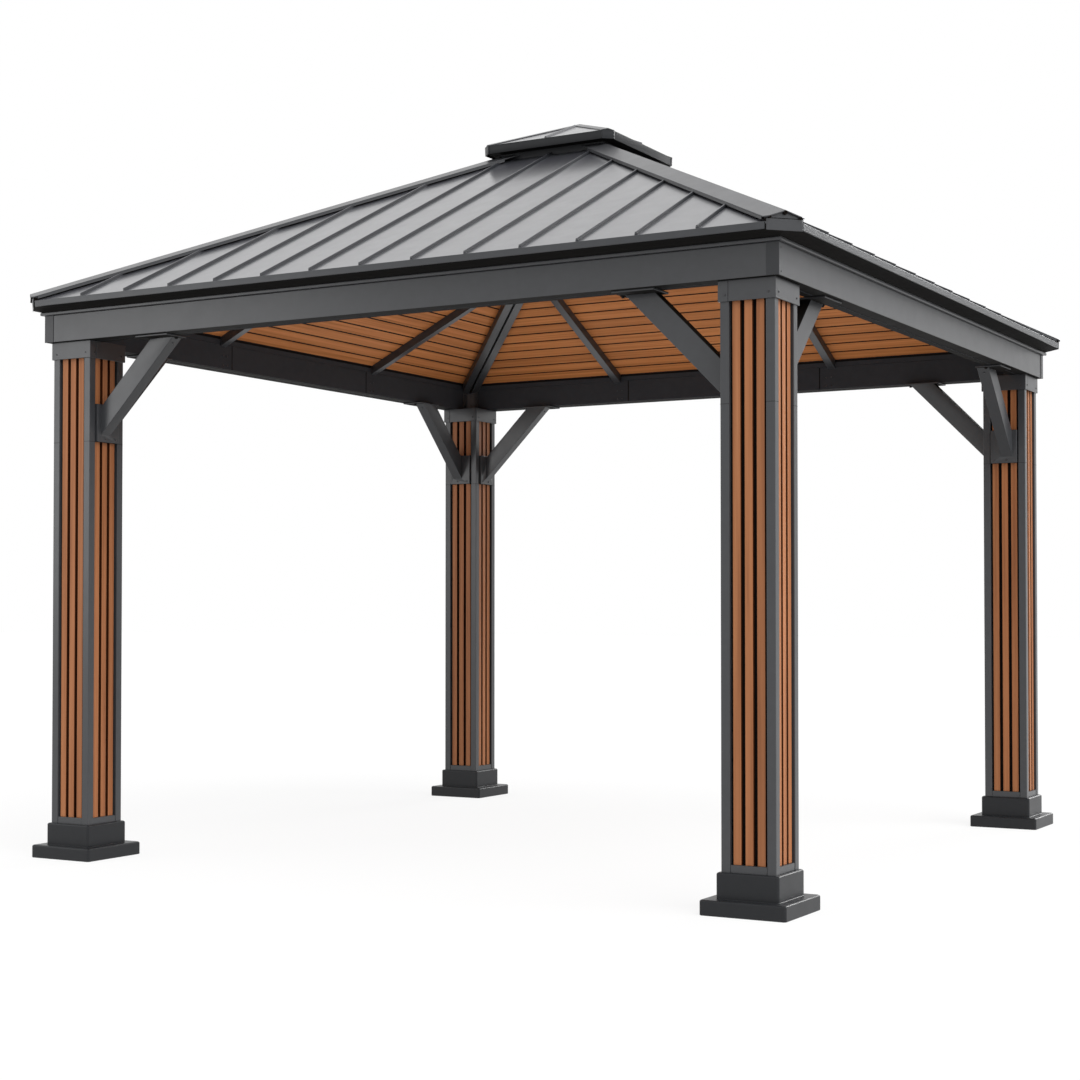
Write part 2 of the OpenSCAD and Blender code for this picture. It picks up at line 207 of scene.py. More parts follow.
def cut(bm, point, normal):
    """Removes what lies on the normal's side of a plane and closes the cut."""
    everything = bm.verts[:] + bm.edges[:] + bm.faces[:]
    bmesh.ops.bisect_plane(bm, geom=everything, plane_co=point, plane_no=normal, clear_outer=True)
    open_edges = [e for e in bm.edges if e.is_boundary]
    bmesh.ops.holes_fill(bm, edges=open_edges)
    bmesh.ops.recalc_face_normals(bm, faces=bm.faces)
    return bm


def mitre(bm, gap=0.0):
    """Cuts a front bar at both corner diagonals, keeping a gap from them along the side."""
    for sign in (-1, 1):
        cut(bm, (-sign * gap, 0, 0), (sign, 1, 0))
    return bm


def soften(bm, width, segments=2):
    """Rounds every outer edge where two faces meet at more than 30 degrees."""
    sharp = math.radians(30)
    edges = [e for e in bm.edges if e.is_convex and e.calc_face_angle(0) > sharp]
    bmesh.ops.bevel(
        bm, geom=edges, offset=width, segments=segments, profile=0.5,
        affect="EDGES", clamp_overlap=True,
    )
    return bm


def cad_shape(node):
    """A CAD node's own shape as a clean mesh, without the triangles of its flat faces."""
    bm = bmesh.new()
    bm.from_mesh(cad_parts[node].data)
    bmesh.ops.remove_doubles(bm, verts=bm.verts, dist=0.00005)
    bmesh.ops.dissolve_limit(
        bm, angle_limit=math.radians(0.6), verts=bm.verts[:], edges=bm.edges[:],
    )
    return bm


def looks_down(face):
    return face.normal.z < -0.95


def looks_inward(face):
    return face.normal.y > 0.7


def looks_sideways(face):
    return abs(face.normal.x) > 0.7


def pick(condition, special, other):
    """Gives one material to the faces that meet a condition and another to the rest."""
    return lambda face: special if condition(face) else other


class Piece:
    """Gathers solids into one mesh object that stands for a CAD node."""

    def __init__(self, name, slot, materials):
        self.name = name
        self.slot = slot
        self.materials = materials
        self.bm = bmesh.new()

    def add(self, bm, place=AS_IT_IS, paint=None):
        """Adds a solid in the piece's first material, in another, or in what a function picks."""
        bm.normal_update()
        for face in bm.faces:
            chosen = paint(face) if callable(paint) else paint or self.materials[0]
            face.material_index = self.materials.index(chosen)
        bm.transform(place)
        if place.determinant() < 0:
            bmesh.ops.reverse_faces(bm, faces=bm.faces)
        part = bpy.data.meshes.new("part")
        bm.to_mesh(part)
        bm.free()
        self.bm.from_mesh(part)
        bpy.data.meshes.remove(part)

    def finish(self, node):
        """Makes the object, puts it on the body and lets it stand for the node."""
        mesh = bpy.data.meshes.new(self.name)
        self.bm.to_mesh(mesh)
        self.bm.free()
        for material in self.materials:
            mesh.materials.append(material)
        obj = bpy.data.objects.new(self.name, mesh)
        bpy.context.scene.collection.objects.link(obj)
        smooth_shading(obj)
        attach(obj, "root")
        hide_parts(node)


def smooth_shading(obj):
    """Smooth rounded edges with flat faces between them."""
    obj.data.shade_smooth()
    obj.data.set_sharp_from_angle(angle=math.radians(40))
    weighted = obj.modifiers.new("flat faces", "WEIGHTED_NORMAL")
    weighted.keep_sharp = True


# ---- Materials ----

def new_material(name):
    material = bpy.data.materials.new(name)
    material.use_nodes = True
    nodes = material.node_tree.nodes
    return material, nodes, material.node_tree.links, nodes["Principled BSDF"]


def coordinates(nodes, links, scale=(1, 1, 1)):
    """Object coordinates, in metres, stretched by a scale."""
    texture = nodes.new("ShaderNodeTexCoord")
    mapping = nodes.new("ShaderNodeMapping")
    mapping.inputs["Scale"].default_value = scale
    links.new(texture.outputs["Object"], mapping.inputs["Vector"])
    return mapping.outputs["Vector"]


def noise(nodes, links, vector, scale, detail=2.0, distortion=0.0):
    node = nodes.new("ShaderNodeTexNoise")
    node.inputs["Scale"].default_value = scale
    node.inputs["Detail"].default_value = detail
    node.inputs["Distortion"].default_value = distortion
    links.new(vector, node.inputs["Vector"])
    return node.outputs["Fac"]


def ramp(nodes, links, factor, stops):
    """Colour ramp through (position, linear colour) stops."""
    node = nodes.new("ShaderNodeValToRGB")
    elements = node.color_ramp.elements
    while len(elements) < len(stops):
        elements.new(0.5)
    for element, (position, colour) in zip(elements, stops):
        element.position = position
        element.color = (*colour, 1)
    links.new(factor, node.inputs["Fac"])
    return node.outputs["Color"]


def noise_range(nodes, links, value, low, high):
    """Spreads a noise, whose values lie mostly between 0.3 and 0.7, from low to high."""
    node = nodes.new("ShaderNodeMapRange")
    node.inputs["From Min"].default_value = 0.3
    node.inputs["From Max"].default_value = 0.7
    node.inputs["To Min"].default_value = low
    node.inputs["To Max"].default_value = high
    links.new(value, node.inputs["Value"])
    return node.outputs["Result"]


def bump(nodes, links, height, strength, distance):
    node = nodes.new("ShaderNodeBump")
    node.inputs["Strength"].default_value = strength
    node.inputs["Distance"].default_value = distance
    links.new(height, node.inputs["Height"])
    return node.outputs["Normal"]


def scaled(colour, factors):
    """A colour with each channel times its own factor."""
    return tuple(channel * factor for channel, factor in zip(colour, factors))


def painted_metal(name, colour, roughness, specular, coat=0.0):
    """Powder coat: faint mottled tone, fine orange peel and a satin sheen that varies a little."""
    tone_spread = 0.05
    sheen_spread = 0.02
    material, nodes, links, shader = new_material(name)
    vector = coordinates(nodes, links)
    dark = scaled(colour, [1 - tone_spread] * 3)
    light = scaled(colour, [1 + tone_spread] * 3)
    mottle = noise(nodes, links, vector, scale=30.0, detail=4)
    links.new(ramp(nodes, links, mottle, [(0.3, dark), (0.7, light)]), shader.inputs["Base Color"])
    patches = noise(nodes, links, vector, scale=12.0, detail=3)
    sheen = noise_range(nodes, links, patches, roughness - sheen_spread, roughness + sheen_spread)
    links.new(sheen, shader.inputs["Roughness"])
    peel = noise(nodes, links, vector, scale=700.0)
    links.new(bump(nodes, links, peel, 0.08, 0.0003), shader.inputs["Normal"])
    shader.inputs["Specular IOR Level"].default_value = specular
    shader.inputs["Coat Weight"].default_value = coat
    shader.inputs["Coat Roughness"].default_value = 0.16
    return material


# Wood colours along the fibre noise, from the dark fibres to the light ones.
WOOD_COLOURS = [
    (0.28, (0.230, 0.082, 0.025)), (0.46, (0.310, 0.116, 0.036)),
    (0.60, (0.345, 0.132, 0.042)), (0.76, (0.400, 0.160, 0.054)),
]


def board_tone(nodes, links, colour):
    """Makes each board a little darker or lighter than the others."""
    tone = nodes.new("ShaderNodeHueSaturation")
    geometry = nodes.new("ShaderNodeNewGeometry")
    value = nodes.new("ShaderNodeMapRange")
    value.inputs["To Min"].default_value = 0.93
    value.inputs["To Max"].default_value = 1.08
    links.new(geometry.outputs["Random Per Island"], value.inputs["Value"])
    links.new(value.outputs["Result"], tone.inputs["Value"])
    links.new(colour, tone.inputs["Color"])
    return tone.outputs["Color"]


def streaked(nodes, links, colour, broad):
    """Darkens a colour a little where a broad noise is low."""
    streaks = ramp(nodes, links, broad, [(0.35, (0.84, 0.80, 0.76)), (0.62, (1.0, 1.0, 1.0))])
    mix = nodes.new("ShaderNodeMix")
    mix.data_type = "RGBA"
    mix.blend_type = "MULTIPLY"
    mix.inputs["Factor"].default_value = 0.6
    links.new(colour, mix.inputs["A"])
    links.new(streaks, mix.inputs["B"])
    return mix.outputs["Result"]


def grain_noise(nodes, links, along, length_scale, width_scale, detail, distortion):
    """Noise drawn out along one axis."""
    scale = tuple(length_scale if axis == along else width_scale for axis in "xyz")
    return noise(nodes, links, coordinates(nodes, links, scale), 1.0, detail, distortion)


def wood_grain(name, along, tint, specular=0.12):
    """Wood-print coating with fibres along one axis and a tone of its own for each board."""
    material, nodes, links, shader = new_material(name)
    fibres = grain_noise(nodes, links, along, 1.1, 70.0, detail=6.0, distortion=0.3)
    broad = grain_noise(nodes, links, along, 0.6, 11.0, detail=3.0, distortion=0.8)
    stops = [(position, scaled(colour, tint)) for position, colour in WOOD_COLOURS]
    grain = board_tone(nodes, links, ramp(nodes, links, fibres, stops))
    links.new(streaked(nodes, links, grain, broad), shader.inputs["Base Color"])
    links.new(noise_range(nodes, links, fibres, 0.62, 0.52), shader.inputs["Roughness"])
    links.new(bump(nodes, links, fibres, 0.10, 0.0003), shader.inputs["Normal"])
    shader.inputs["Specular IOR Level"].default_value = specular
    return material


# Paints have a colour, a roughness and a specular level, and the roof's also a clear coat.
FRAME_PAINT = painted_metal("frame_paint", (0.038, 0.0395, 0.043), 0.30, 0.5)
# Dark paint on the beam corner covers, and painted shade on the braces' lower sides and the roof
# seams' steep sides.
DARK_PAINT_AND_SHADE = painted_metal("dark_paint_and_shade", (0.021, 0.022, 0.025), 0.34, 0.4)
# Darker than the frame paint: painted shade on the plinths near the floor.
PLINTH_SHADE_PAINT = painted_metal("plinth_painted_shade", (0.015, 0.016, 0.018), 0.36, 0.25)
SHADE_PAINT = painted_metal("shade_paint", (0.038, 0.041, 0.047), 0.60, 0.12)
# Near-black painted shade for undersides, the eave cove, the braces' upper sides and bolts, and
# the cupola soffit.
UNDERSIDE_SHADE = painted_metal("underside_painted_shade", (0.012, 0.0115, 0.011), 0.75, 0.05)
# A little lighter than the frame paint: painted light on the eave trim.
TRIM_LIT_PAINT = painted_metal("eave_trim_painted_light", (0.040, 0.042, 0.046), 0.32, 0.42)
# Near-black painted shade on the cupola curb and trim.
CUPOLA_SHADE_PAINT = painted_metal("cupola_trim_painted_shade", (0.017, 0.018, 0.020), 0.42, 0.25)
HIP_PAINT = painted_metal("hip_cap_paint", (0.045, 0.046, 0.050), 0.34, 0.40, coat=0.15)
ROOF_SHEET = painted_metal("roof_sheet", (0.047, 0.048, 0.056), 0.32, 0.5, coat=0.70)
FASTENER = painted_metal("fastener_steel", (0.030, 0.031, 0.033), 0.28, 0.6)
# Near black for dark joints, and for painted shade and shadow: the eave's shadow line and the hip
# caps' folded ends and closure strips.
GROOVE_SHADOW = painted_metal("groove_shadow", (0.008, 0.006, 0.005), 0.70, 0.05)
SLAT_WOOD = wood_grain("slat_wood", "z", (1.03, 1.03, 1.22), specular=0.35)
# Much darker than the slat wood: painted shade on the slats' sides.
SLAT_SIDE_SHADE = wood_grain("slat_side_shaded_wood", "z", (0.16, 0.12, 0.12))
# Much lighter than the slat wood: painted light on the ceiling under the roof.
CEILING_LIT_WOOD = {
    axis: wood_grain("ceiling_lit_wood_" + axis, axis, (1.70, 1.70, 1.75)) for axis in "xy"
}


# ---- Fasteners ----

def circle(radius, z, count):
    """Ring of points round the Z axis."""
    angles = [i * math.tau / count for i in range(count)]
    return [(radius * math.cos(a), radius * math.sin(a), z) for a in angles]


def screw_head(radius, height):
    """Round screw head with a dished top, standing on z = 0."""
    profile = [(1.0, -0.2), (1.0, 0.5), (0.82, 1.0), (0.45, 1.0), (0.36, 0.45)]
    return loft([circle(radius * r, height * z, 16) for r, z in profile])


def bolt_head(radius, height):
    """Washer and hexagon head, standing on z = 0."""
    washer = loft([circle(1.5 * radius, z, 20) for z in (-0.0005, 0.3 * height)])
    hexagon = loft([circle(radius, z, 6) for z in (0.2 * height, height)])
    return washer, soften(hexagon, radius * 0.12)


def facing(point, direction):
    """Places a fastener on a face that looks along a direction."""
    aim = Vector(direction).to_track_quat("Z", "Y").to_matrix().to_4x4()
    return Matrix.Translation(point) @ aim


# ---- Plinths ----

def rounded_square(half, radius, z):
    """Ring of points round a square with rounded corners."""
    middle = half - radius
    ring = []
    for quarter in range(4):
        turn = Matrix.Rotation(quarter * math.pi / 2, 2)
        for angle in quarter_turn(4):
            x = middle + radius * math.cos(angle)
            y = middle + radius * math.sin(angle)
            spot = turn @ Vector((x, y))
            ring.append((spot.x, spot.y, z))
    return ring


def fillet(half, top, radius):
    """(half width, height) points that round a step's top edge."""
    return [
        (half - radius * (1 - math.cos(angle)), top - radius * (1 - math.sin(angle)))
        for angle in quarter_turn(4)
    ]


def plinth(turn):
    """Hollow two-step skirt: up its outer face, across its top and down its inner face."""
    corner_r = 0.009
    edge_r = 0.007
    toe = 0.002
    nook = 0.001
    inner = POST_HALF + 0.0005
    riser_in = RISER_HALF - SHEET_T
    step_in = PLINTH_HALF - SHEET_T
    outer_face = (
        [(PLINTH_HALF - toe, 0.0), (PLINTH_HALF, toe)]
        + fillet(PLINTH_HALF, STEP_TOP, edge_r)
        + [(RISER_HALF + nook, STEP_TOP), (RISER_HALF, STEP_TOP + nook)]
        + fillet(RISER_HALF, PLINTH_TOP, edge_r)
        + [(inner, PLINTH_TOP)]
    )
    inner_face = [
        (inner, PLINTH_TOP - SHEET_T), (riser_in, PLINTH_TOP - SHEET_T),
        (riser_in, STEP_TOP - SHEET_T), (step_in, STEP_TOP - SHEET_T), (step_in, 0.0),
    ]
    rings = [rounded_square(half, corner_r, z) for half, z in outer_face + inner_face]
    # The plinth cover is in painted shade, darker than the frame paint.
    piece = Piece(CORNERS[turn] + "_plinth_cover", "frame_paint", [PLINTH_SHADE_PAINT])
    piece.add(loft(rings, closed=True), at_corner(turn))
    piece.finish(CORNERS[turn] + "_plinth")


# ---- Posts ----

def corner_profile():
    """One corner profile of a post, in the +X -Y corner."""
    low = (POST_HALF - CORNER_W, -POST_HALF, FOOT_T)
    high = (POST_HALF, -POST_HALF + CORNER_W, BEAM_BOTTOM)
    return soften(block(low, high), 0.0025, 3)


def joint_line():
    """Dark butt joint between the two lengths of a corner profile."""
    proud = 0.0002
    corner_cut = 0.0007
    half_height = 0.0008
    low = (POST_HALF - CORNER_W, -POST_HALF - proud, SPLICE_Z - half_height)
    high = (POST_HALF + proud, -POST_HALF + CORNER_W, SPLICE_Z + half_height)
    return soften(block(low, high), corner_cut)


def post_rail(bottom, top):
    """Flat rail between two corner profiles, on the -Y face."""
    gap = 0.0008
    half = POST_HALF - CORNER_W - gap
    face = POST_HALF - RAIL_SET_BACK
    return soften(block((-half, -face, bottom), (half, -CORE_HALF, top)), 0.0012)


def post(turn):
    """Foot plate, dark core, corner profiles, and the rails under and over the slats."""
    foot_gap = 0.0002
    head_gap = 0.001
    rail_bottom = PLINTH_TOP - 0.026
    place = at_corner(turn)
    piece = Piece(CORNERS[turn] + "_post_frame", "frame_paint", [FRAME_PAINT, GROOVE_SHADOW])
    piece.add(soften(square_block(POST_HALF, 0, FOOT_T - foot_gap), 0.0012), place)
    piece.add(square_block(CORE_HALF, FOOT_T, BEAM_BOTTOM - head_gap), place, GROOVE_SHADOW)
    for face in range(4):
        around = place @ turned(face)
        piece.add(corner_profile(), around)
        piece.add(joint_line(), around, GROOVE_SHADOW)
        piece.add(post_rail(rail_bottom, SLAT_BOTTOM), around)
        piece.add(post_rail(SLAT_TOP, BEAM_BOTTOM), around)
    piece.finish(CORNERS[turn] + "_post")


def slats(turn):
    """Three slats on each face of a post, with painted shade on their sides."""
    place = at_corner(turn)
    piece = Piece(CORNERS[turn] + "_wood_slats", "wood_grain", [SLAT_WOOD, SLAT_SIDE_SHADE])
    for face in range(4):
        for count in (-1, 0, 1):
            middle = count * SLAT_PITCH
            low = (middle - SLAT_W / 2, -SLAT_FACE, SLAT_BOTTOM)
            high = (middle + SLAT_W / 2, -CORE_HALF, SLAT_TOP)
            slat = soften(block(low, high), 0.0015, 3)
            piece.add(slat, place @ turned(face), pick(looks_sideways, SLAT_SIDE_SHADE, SLAT_WOOD))
    piece.finish(CORNERS[turn] + "_slats")


def collar_wrap():
    """One of two bent sheets round a post head. They meet in a seam on the front and the back."""
    seam_in = 0.038
    seam = 0.0012
    front_x = -COLLAR_HALF + seam_in + seam / 2
    back_x = COLLAR_HALF - seam_in + seam / 2
    top = BEAM_BOTTOM - 0.0005
    outline = [
        (front_x, -COLLAR_HALF), (COLLAR_HALF, -COLLAR_HALF), (COLLAR_HALF, COLLAR_HALF),
        (back_x, COLLAR_HALF), (back_x, POST_HALF), (POST_HALF, POST_HALF),
        (POST_HALF, -POST_HALF), (front_x, -POST_HALF),
    ]
    return soften(prism(outline, COLLAR_BOTTOM, top), 0.0015, 3)


def collars():
    """Wraps round the post heads, the dark filler that shows in their seams, and screws."""
    screw_in = 0.026
    screw_z = COLLAR_BOTTOM + 0.022
    filler_half = POST_HALF + 0.001
    filler_bottom = COLLAR_BOTTOM + 0.004
    filler_top = BEAM_BOTTOM - 0.002
    piece = Piece("post_collar_wraps", "frame_paint", [FRAME_PAINT, GROOVE_SHADOW, FASTENER])
    for turn in range(4):
        place = at_corner(turn)
        piece.add(square_block(filler_half, filler_bottom, filler_top), place, GROOVE_SHADOW)
        for half_turn in (0, 2):
            piece.add(collar_wrap(), place @ turned(half_turn))
        for face in range(4):
            for x in (-COLLAR_HALF + screw_in, COLLAR_HALF - screw_in):
                spot = turned(face) @ facing((x, -COLLAR_HALF, screw_z), (0, -1, 0))
                piece.add(screw_head(*COLLAR_SCREW), place @ spot, FASTENER)
    piece.finish("post_collars")


# ---- Ring beam ----

TUBE_JOINT = 0.005
SPLICE_X = RAFTER_AT - 0.065
SPLICE_GAP = 0.0025
BRACKET_T = 0.003


def splice_marks(piece, place):
    """Dark gap at both splices of the inner tube, and four screws past each."""
    shadow = 0.0004
    sunk = 0.002
    for sign in (-1, 1):
        low = (sign * SPLICE_X - SPLICE_GAP, -BEAM_IN - TUBE_JOINT, BEAM_BOTTOM + sunk)
        high = (sign * SPLICE_X + SPLICE_GAP, -BEAM_IN + shadow, BEAM_TOP - sunk)
        piece.add(block(low, high), place, GROOVE_SHADOW)
        for past in (0.036, 0.064):
            for up in (0.017, 0.060):
                point = (sign * (SPLICE_X + past), -BEAM_IN, BEAM_BOTTOM + up)
                piece.add(screw_head(*SPLICE_SCREW), place @ facing(point, (0, 1, 0)), FASTENER)


def beam(turn):
    """Outer tube, inner tube in three spliced lengths, and the dark joint between them."""
    outer_in = BEAM_OUT - 0.060
    inner_out = outer_in - TUBE_JOINT
    overlap = 0.002
    place = turned(turn)
    piece = Piece(SIDES[turn] + "_beam_tubes", "frame_paint",
                  [FRAME_PAINT, SHADE_PAINT, GROOVE_SHADOW, FASTENER, UNDERSIDE_SHADE])
    outer = mitre(side_bar(rectangle(outer_in, BEAM_OUT, BEAM_BOTTOM, BEAM_TOP)))
    # Painted shade: the tubes' undersides are near black, and the inner tube is in the shade
    # paint.
    piece.add(soften(outer, 0.0022, 3), place, pick(looks_down, UNDERSIDE_SHADE, FRAME_PAINT))
    inner = rectangle(BEAM_IN, inner_out, BEAM_BOTTOM, BEAM_TOP)
    lengths = [(-PAST_END, -SPLICE_X), (-SPLICE_X + SPLICE_GAP, SPLICE_X - SPLICE_GAP),
               (SPLICE_X, PAST_END)]
    for start, end in lengths:
        tube = soften(mitre(side_bar(inner, start, end)), 0.0010)
        piece.add(tube, place, pick(looks_down, UNDERSIDE_SHADE, SHADE_PAINT))
    filler = rectangle(inner_out - overlap, outer_in + overlap,
                       BEAM_BOTTOM + 0.006, BEAM_TOP - 0.002)
    piece.add(mitre(side_bar(filler)), place, GROOVE_SHADOW)
    splice_marks(piece, place)
    piece.finish(SIDES[turn] + "_beam")


def inner_angle():
    """Angle bracket in the inner corner of the ring beam, at the front right."""
    corner = BEAM_IN
    face = BEAM_IN - BRACKET_T
    end = BEAM_IN - 0.060
    outline = [(corner, -corner), (end, -corner), (end, -face),
               (face, -face), (face, -end), (corner, -end)]
    return soften(prism(outline, BEAM_BOTTOM, BEAM_TOP), 0.0008)


def bracket_screws(piece, place):
    """Four screws in each leg of the front right angle bracket."""
    face = BEAM_IN - BRACKET_T
    screw_up = 0.028
    for z in (BEAM_BOTTOM + screw_up, BEAM_TOP - screw_up):
        for along in (0.024, 0.046):
            front = facing((BEAM_IN - along, -face, z), (0, 1, 0))
            right = facing((face, -BEAM_IN + along, z), (-1, 0, 0))
            piece.add(screw_head(*BRACKET_SCREW), place @ front, FASTENER)
            piece.add(screw_head(*BRACKET_SCREW), place @ right, FASTENER)


def cover_screws(piece, place):
    """Two screws in the cover angle at each end of a beam."""
    screw_in = 0.020
    for x in (-BEAM_OUT + screw_in, BEAM_OUT - screw_in):
        for z in (BEAM_BOTTOM + 0.013, BEAM_TOP - 0.018):
            spot = facing((x, -BEAM_OUT, z), (0, -1, 0))
            piece.add(screw_head(*COVER_SCREW), place @ spot, FASTENER)


def beam_corners():
    """Cover angles outside the beam joints and bracket angles inside them, with their screws."""
    piece = Piece("beam_corner_angles", "frame_paint", [FRAME_PAINT, FASTENER, DARK_PAINT_AND_SHADE])
    piece.add(soften(cad_shape("beam_corner_covers"), 0.0006), paint=DARK_PAINT_AND_SHADE)
    for turn in range(4):
        piece.add(inner_angle(), turned(turn))
        bracket_screws(piece, turned(turn))
    for turn in (1, 3):
        cover_screws(piece, turned(turn))
    piece.finish("beam_corner_covers")


# ---- Braces ----

def brace_paint_and_shade(face):
    """Painted shade: near black on a brace's upper side and plate undersides, dark on its lower
    side.
    """
    if face.normal.z < -0.95 or face.normal.z > 0.5:
        return UNDERSIDE_SHADE
    return DARK_PAINT_AND_SHADE if face.normal.z < -0.5 else FRAME_PAINT


def brace_fasteners(piece, place):
    """Two screws in a brace's foot plate, one in its lower side, and a bolt in its head plate."""
    foot_face = -POST_HALF - FOOT_PLATE_PROUD
    foot_z = FOOT_PLATE_LOW + 0.015
    head_z = BEAM_BOTTOM - HEAD_PLATE_T
    head_x = HEAD_PLATE_PAST - HEAD_PLATE_FAR
    down_face = 0.022
    for y in (-BRACE_SHIFT, 0.044):
        spot = facing((foot_face, y, foot_z), (-1, 0, 0))
        piece.add(screw_head(*BRACE_FOOT_SCREW), place @ spot, FASTENER)
    spot = facing((head_x + down_face, -BRACE_SHIFT, head_z - down_face), (-1, 0, -1))
    piece.add(screw_head(*BRACE_HEAD_SCREW), place @ spot, FASTENER)
    spot = facing((head_x - 0.013, -0.034, head_z), (0, 0, -1))
    # The bolt heads under the head plate are in near-black painted shade.
    for part in bolt_head(*BRACE_BOLT):
        piece.add(part, place @ spot, UNDERSIDE_SHADE)


def braces(turn):
    """Both braces of a post with their fasteners."""
    node = CORNERS[turn] + "_braces"
    piece = Piece(CORNERS[turn] + "_brace_pair", "frame_paint",
                  [FRAME_PAINT, UNDERSIDE_SHADE, FASTENER, DARK_PAINT_AND_SHADE])
    piece.add(soften(cad_shape(node), 0.0022, 3), paint=brace_paint_and_shade)
    for flip in (AS_IT_IS, MIRRORED):
        brace_fasteners(piece, at_corner(turn) @ flip)
    piece.finish(node)


# ---- Eave ----

LIP_TOP = BEAM_TOP + 0.012
LIP_OUT = BEAM_OUT + 0.016
LIP_BACK = BEAM_OUT - 0.010
COVE_IN = LIP_OUT - 0.004
BOX_OUT = EAVE_AT - 0.005


def clip_corners(bm, extra=0.0):
    """Cuts a front bar at the eave's 45 degree corner cuts."""
    reach = 2 * EAVE_AT - EAVE_CLIP - extra
    for sign in (-1, 1):
        cut(bm, (sign * reach / 2, -reach / 2, 0), (sign, -1, 0))
    return bm


def cove_curve():
    """Quarter ellipse from the lip out to the trim."""
    foot_z = LIP_TOP + 0.002
    cove_out = EAVE_AT - 0.008
    return [
        (cove_out - (cove_out - COVE_IN) * math.cos(angle),
         foot_z + (TRIM_BOTTOM - foot_z) * math.sin(angle))
        for angle in quarter_turn(10)
    ]


def eave_box():
    """Outline of the overhang: the cove, the edge behind the trim, the roof, the beam, the lip."""
    beam_rest = BEAM_TOP + 0.0005
    lip_rest = LIP_TOP - 0.001
    return cove_curve() + [
        (BOX_OUT, TRIM_BOTTOM), (BOX_OUT, roof_top(PANEL_OUT) - PANEL_T),
        (BEAM_IN, roof_top(BEAM_IN) - PANEL_T), (BEAM_IN, beam_rest),
        (LIP_BACK, beam_rest), (LIP_BACK, lip_rest), (COVE_IN, lip_rest),
    ]


def shadow_line():
    """Outline of the dark line where the ceiling meets the inner face over the beam."""
    top = ceiling_at(BEAM_IN)
    return rectangle(BEAM_IN - 0.0005, BEAM_IN + 0.001, top - 0.009, top)


def eave(turn):
    """Lip on the beam, cove under the overhang in painted shade, shadow line inside, and upright
    trim.
    """
    place = turned(turn)
    piece = Piece(SIDES[turn] + "_eave_moulding", "frame_paint",
                  [FRAME_PAINT, UNDERSIDE_SHADE, SHADE_PAINT, GROOVE_SHADOW, TRIM_LIT_PAINT])
    lip = side_bar(rectangle(LIP_BACK, LIP_OUT, BEAM_TOP, LIP_TOP))
    piece.add(soften(mitre(lip), 0.0025, 3), place)
    box = clip_corners(mitre(side_bar(eave_box())))
    piece.add(box, place, pick(looks_inward, SHADE_PAINT, UNDERSIDE_SHADE))
    piece.add(mitre(side_bar(shadow_line())), place, GROOVE_SHADOW)
    trim_end = EAVE_AT - EAVE_CLIP - 0.006
    trim = rectangle(BOX_OUT - 0.004, EAVE_AT, TRIM_BOTTOM, TRIM_TOP)
    # The trim is in a paint a little lighter than the frame paint, as painted light.
    piece.add(soften(side_bar(trim, -trim_end, trim_end), 0.0015, 3), place, TRIM_LIT_PAINT)
    piece.finish(SIDES[turn] + "_eave")


# ---- Main roof ----

def on_slope(out, x):
    """Frame on the front roof face: local X along the eave, Y up the slope, Z off the sheet."""
    tilt = Matrix.Rotation(ROOF_PITCH, 4, "X")
    return Matrix.Translation((x, -out, roof_top(out))) @ tilt


def standing_seam(x):
    """Tapered rib from the eave to the hip cap or the curb."""
    foot = PANEL_OUT - 0.006
    head = max(CURB_HALF, abs(x) + 0.045)
    length = (foot - head) / math.cos(ROOF_PITCH)
    right = [(0.007, -0.002), (0.0025, 0.0098), (0.0013, 0.011)]
    left = [(-across, up) for across, up in reversed(right)]
    rib = loft([[(across, along, up) for across, up in right + left] for along in (0.0, length)])
    rib.transform(on_slope(foot, x))
    return rib


def roof_panel(turn):
    """Roof sheet with standing seams, with painted shade on their steep sides."""
    seam_pitch = 0.230
    seam_count = 6
    corner_gap = 0.002
    piece = Piece(SIDES[turn] + "_roof_sheet", "roof_sheet", [ROOF_SHEET, DARK_PAINT_AND_SHADE])
    outline = sloping_board(roof_top, CURB_HALF, PANEL_OUT, -PANEL_T, 0.0)
    sheet = clip_corners(mitre(side_bar(outline)), corner_gap)
    piece.add(soften(sheet, 0.0012), turned(turn))
    for count in range(-seam_count, seam_count + 1):
        seam = soften(standing_seam(count * seam_pitch), 0.0006)
        piece.add(seam, turned(turn), pick(looks_sideways, DARK_PAINT_AND_SHADE, ROOF_SHEET))
    piece.finish(SIDES[turn] + "_roof_panel")


# ---- Ceiling ----

def ceiling_runs(half):
    """Stretches of a board of some half length that lie clear of the common rafters."""
    inner = RAFTER_AT - RAFTER_HALF
    outer = RAFTER_AT + RAFTER_HALF
    shortest = 0.02
    if half <= inner:
        return [(-PAST_END, PAST_END)]
    if half <= outer + shortest:
        return [(-inner, inner)]
    return [(-PAST_END, -outer), (-inner, inner), (outer, PAST_END)]


